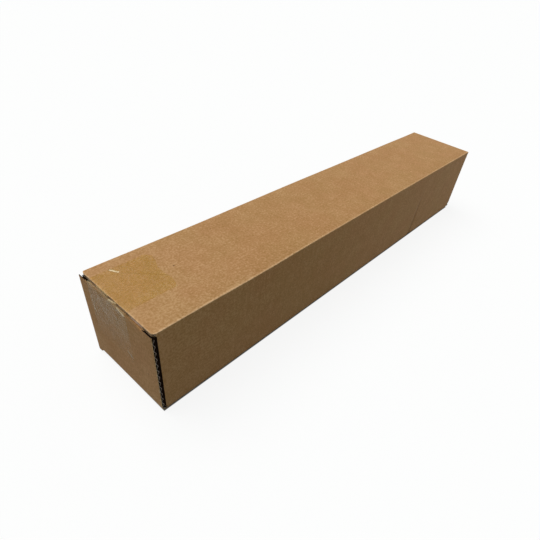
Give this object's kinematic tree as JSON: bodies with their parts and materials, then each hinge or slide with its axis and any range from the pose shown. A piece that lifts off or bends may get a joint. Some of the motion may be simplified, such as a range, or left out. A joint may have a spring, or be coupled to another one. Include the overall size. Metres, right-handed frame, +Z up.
{
  "type": "long shipping box",
  "caption": "Long slim corrugated shipping box of plain kraft board with a tuck flap at each end, one end taped shut and the other free to open.",
  "frame": {"origin": "middle of the underside, on the surface the box stands on", "axes": "+X along the box to the end that opens, +Y to the long side with the glued lap, +Z up"},
  "size_m": [0.5156, 0.0862, 0.083],
  "materials": {
    "board": "unprinted kraft paper on corrugated board, matt",
    "tape": "clear packing tape, glossy, see-through"
  },
  "bodies": {
    "box": {"folded_box": "board", "sealing_tape": "tape"},
    "end_flap": {"far_end_flap": "board"}
  },
  "joints": [
    {"name": "end_flap_crease", "type": "hinge", "parent": "box", "child": "end_flap", "pos_m": [0.25668, 0, 0.00117], "axis": [0, 1, 0], "range_deg": [0, 90]}
  ]
}
